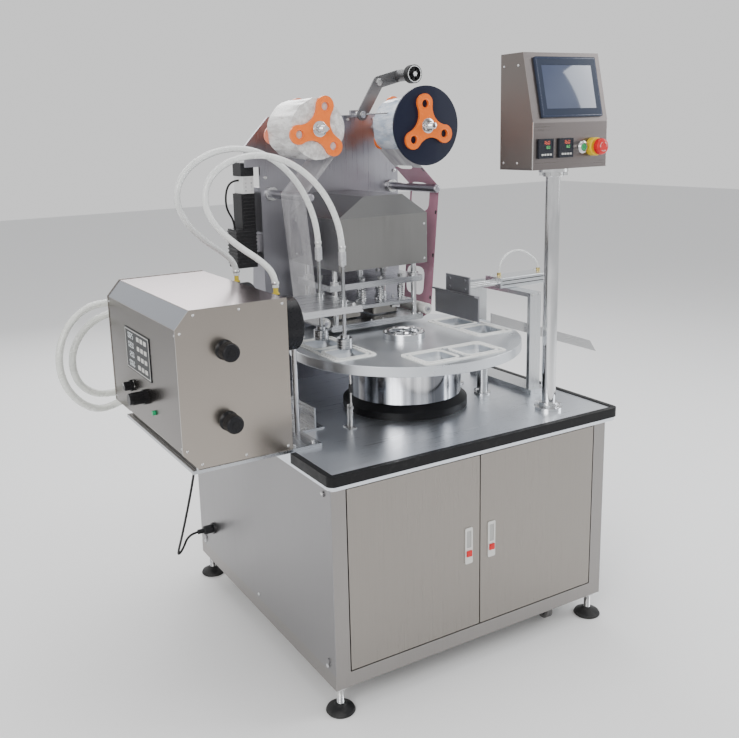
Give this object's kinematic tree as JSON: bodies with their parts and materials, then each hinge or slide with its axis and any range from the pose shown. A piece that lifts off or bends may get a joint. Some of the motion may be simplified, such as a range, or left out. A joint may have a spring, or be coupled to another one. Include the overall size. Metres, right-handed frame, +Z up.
{
  "type": "cup filling and sealing machine",
  "caption": "Rotary cup filling and sealing machine on a cabinet, with turntable, side pump unit, film press, reels, display and chute.",
  "frame": {"origin": "on the floor, under the middle of the machine's footprint (pump knob to chute end, table front to table rear)", "axes": "+X to the right along the door side, towards the chute; +Y from the door side to the rear; +Z up"},
  "size_m": [1.4815, 0.8889, 1.541],
  "materials": {
    "stainless_satin": "satin brushed stainless sheet",
    "stainless_bright": "polished stainless",
    "machined_aluminium": "machined aluminium",
    "chrome_steel": "bright plated steel",
    "black_rubber": "matt black rubber",
    "white_silicone": "white silicone",
    "black_plastic": "matt black",
    "orange_plastic": "glossy orange",
    "clear_film": "clear film on a core",
    "purple_film": "printed film",
    "clear_hose": "translucent hose",
    "cord_black": "black flex",
    "red_plastic": "glossy red",
    "green_plastic": "glossy green",
    "dark_sheet": "dark grey",
    "grey_paint": "grey paint"
  },
  "bodies": {
    "machine": {"cabinet_frame": "stainless_satin", "cabinet_panels": "stainless_satin", "levelling_feet": "black_rubber", "table_top": "stainless_satin", "table_edging": "black_rubber", "turntable_drum": "stainless_bright", "indexing_drive": "grey_paint", "electrical_plate": "grey_paint", "display_column": "stainless_bright", "display_housing": "stainless_satin", "display_panels": "black_plastic", "pump_shelf": "stainless_satin", "pump_box": "stainless_satin", "pump_keypad": "black_plastic", "pump_heads": "black_plastic", "filling_nozzles": "machined_aluminium", "head_plate": "machined_aluminium", "press_hood": "stainless_satin", "press_frame": "machined_aluminium", "film_drives": "black_plastic", "film_web": "purple_film", "push_off_stand": "machined_aluminium", "push_off_cylinder": "machined_aluminium", "chute": "stainless_bright", "dosing_hose_front": "clear_hose", "dosing_hose_rear": "clear_hose", "suction_hose_outer": "clear_hose", "suction_hose_inner": "clear_hose", "mains_cord": "cord_black", "mains_plug": "black_rubber", "air_tubes": "clear_hose", "motor_cable": "cord_black"},
    "turntable": {"turntable_disc": "machined_aluminium", "station_moulds": "machined_aluminium", "station_gaskets": "white_silicone"},
    "press": {"press_plates": "machined_aluminium"},
    "supply_reel": {"supply_spindle": "orange_plastic", "supply_roll": "clear_film"},
    "waste_reel": {"waste_spindle": "orange_plastic", "waste_roll": "clear_film"},
    "left_roller": {"left_film_roller": "machined_aluminium"},
    "right_roller": {"right_film_roller": "machined_aluminium"},
    "arm": {"measuring_arm": "machined_aluminium"},
    "arm_wheel": {"measuring_wheel": "black_rubber"},
    "door_left": {"left_door": "stainless_satin"},
    "door_right": {"right_door": "stainless_satin"},
    "lock_left": {"left_lock_button": "red_plastic"},
    "lock_right": {"right_lock_button": "red_plastic"},
    "start": {"start_button": "green_plastic"},
    "stop": {"emergency_stop": "red_plastic"},
    "selector": {"pump_selector": "black_plastic"},
    "speed_knob": {"pump_speed_knob": "black_plastic"},
    "push_off": {"pusher": "dark_sheet"},
    "lifter": {"cup_lifter": "machined_aluminium"},
    "fork_left": {"caster_fork_front_left": "chrome_steel"},
    "fork_right": {"caster_fork_front_right": "chrome_steel"},
    "wheel_front_left": {"caster_wheel_front_left": "black_rubber"},
    "wheel_front_right": {"caster_wheel_front_right": "black_rubber"},
    "wheel_rear_left": {"caster_wheel_rear_left": "black_rubber"},
    "wheel_rear_right": {"caster_wheel_rear_right": "black_rubber"}
  },
  "joints": [
    {"name": "turntable_turn", "type": "hinge", "parent": "machine", "child": "turntable", "pos_m": [0.0775, -0.059, 0.777], "axis": [0, 0, 1], "continuous": true},
    {"name": "press_stroke", "type": "slide", "parent": "machine", "child": "press", "axis": [0, 0, -1], "range_m": [0, 0.0275]},
    {"name": "supply_reel_turn", "type": "hinge", "parent": "machine", "child": "supply_reel", "pos_m": [-0.0975, 0.151, 1.362], "axis": [0, 1, 0], "continuous": true},
    {"name": "waste_reel_turn", "type": "hinge", "parent": "machine", "child": "waste_reel", "pos_m": [0.2525, 0.151, 1.362], "axis": [0, 1, 0], "continuous": true},
    {"name": "left_roller_turn", "type": "hinge", "parent": "machine", "child": "left_roller", "pos_m": [-0.0975, 0.15, 0.827], "axis": [0, 1, 0], "continuous": true},
    {"name": "right_roller_turn", "type": "hinge", "parent": "machine", "child": "right_roller", "pos_m": [0.2525, 0.15, 0.827], "axis": [0, 1, 0], "continuous": true},
    {"name": "arm_swing", "type": "hinge", "parent": "machine", "child": "arm", "pos_m": [0.1655, 0.305, 1.401], "axis": [0, 1, 0], "range_deg": [-20, 20]},
    {"name": "arm_wheel_turn", "type": "hinge", "parent": "arm", "child": "arm_wheel", "pos_m": [0.3005, 0.206, 1.514], "axis": [0, 1, 0], "continuous": true},
    {"name": "door_left_swing", "type": "hinge", "parent": "machine", "child": "door_left", "pos_m": [-0.3245, -0.4275, 0.338], "axis": [0, 0, -1], "range_deg": [0, 110]},
    {"name": "door_right_swing", "type": "hinge", "parent": "machine", "child": "door_right", "pos_m": [0.4155, -0.4275, 0.338], "axis": [0, 0, 1], "range_deg": [0, 110]},
    {"name": "lock_left_press", "type": "slide", "parent": "door_left", "child": "lock_left", "axis": [0, 1, 0], "range_m": [0, 0.004], "stiffness_N_per_m": 400, "springref_m": -0.002},
    {"name": "lock_right_press", "type": "slide", "parent": "door_right", "child": "lock_right", "axis": [0, 1, 0], "range_m": [0, 0.004], "stiffness_N_per_m": 400, "springref_m": -0.002},
    {"name": "start_press", "type": "slide", "parent": "machine", "child": "start", "axis": [0, 1, 0], "range_m": [0, 0.003], "stiffness_N_per_m": 400, "springref_m": -0.002},
    {"name": "stop_press", "type": "slide", "parent": "machine", "child": "stop", "axis": [0, 1, 0], "range_m": [0, 0.004]},
    {"name": "selector_turn", "type": "hinge", "parent": "machine", "child": "selector", "pos_m": [-0.6595, 0.118, 0.732], "axis": [1, 0, 0], "range_deg": [-45, 45]},
    {"name": "speed_knob_turn", "type": "hinge", "parent": "machine", "child": "speed_knob", "pos_m": [-0.6695, 0.005, 0.73], "axis": [1, 0, 0], "range_deg": [-150, 150]},
    {"name": "push_off_stroke", "type": "slide", "parent": "machine", "child": "push_off", "axis": [1, 0, 0], "range_m": [0, 0.11]},
    {"name": "lifter_stroke", "type": "slide", "parent": "machine", "child": "lifter", "axis": [0, 0, 1], "range_m": [0, 0.04]},
    {"name": "fork_left_swivel", "type": "hinge", "parent": "machine", "child": "fork_left", "pos_m": [-0.2395, -0.343, 0.06], "axis": [0, 0, 1], "continuous": true},
    {"name": "fork_right_swivel", "type": "hinge", "parent": "machine", "child": "fork_right", "pos_m": [0.3305, -0.343, 0.06], "axis": [0, 0, 1], "continuous": true},
    {"name": "wheel_front_left_turn", "type": "hinge", "parent": "fork_left", "child": "wheel_front_left", "pos_m": [-0.2395, -0.319, 0.029], "axis": [1, 0, 0], "continuous": true},
    {"name": "wheel_front_right_turn", "type": "hinge", "parent": "fork_right", "child": "wheel_front_right", "pos_m": [0.3305, -0.367, 0.029], "axis": [1, 0, 0], "continuous": true},
    {"name": "wheel_rear_left_turn", "type": "hinge", "parent": "machine", "child": "wheel_rear_left", "pos_m": [-0.2395, 0.347, 0.029], "axis": [1, 0, 0], "continuous": true},
    {"name": "wheel_rear_right_turn", "type": "hinge", "parent": "machine", "child": "wheel_rear_right", "pos_m": [0.3305, 0.347, 0.029], "axis": [1, 0, 0], "continuous": true}
  ],
  "couplings": [
    {"joint": "supply_reel_turn", "follows": "waste_reel_turn", "ratio": 1.0588},
    {"joint": "left_roller_turn", "follows": "waste_reel_turn", "ratio": -5.625},
    {"joint": "right_roller_turn", "follows": "waste_reel_turn", "ratio": -5.625}
  ]
}
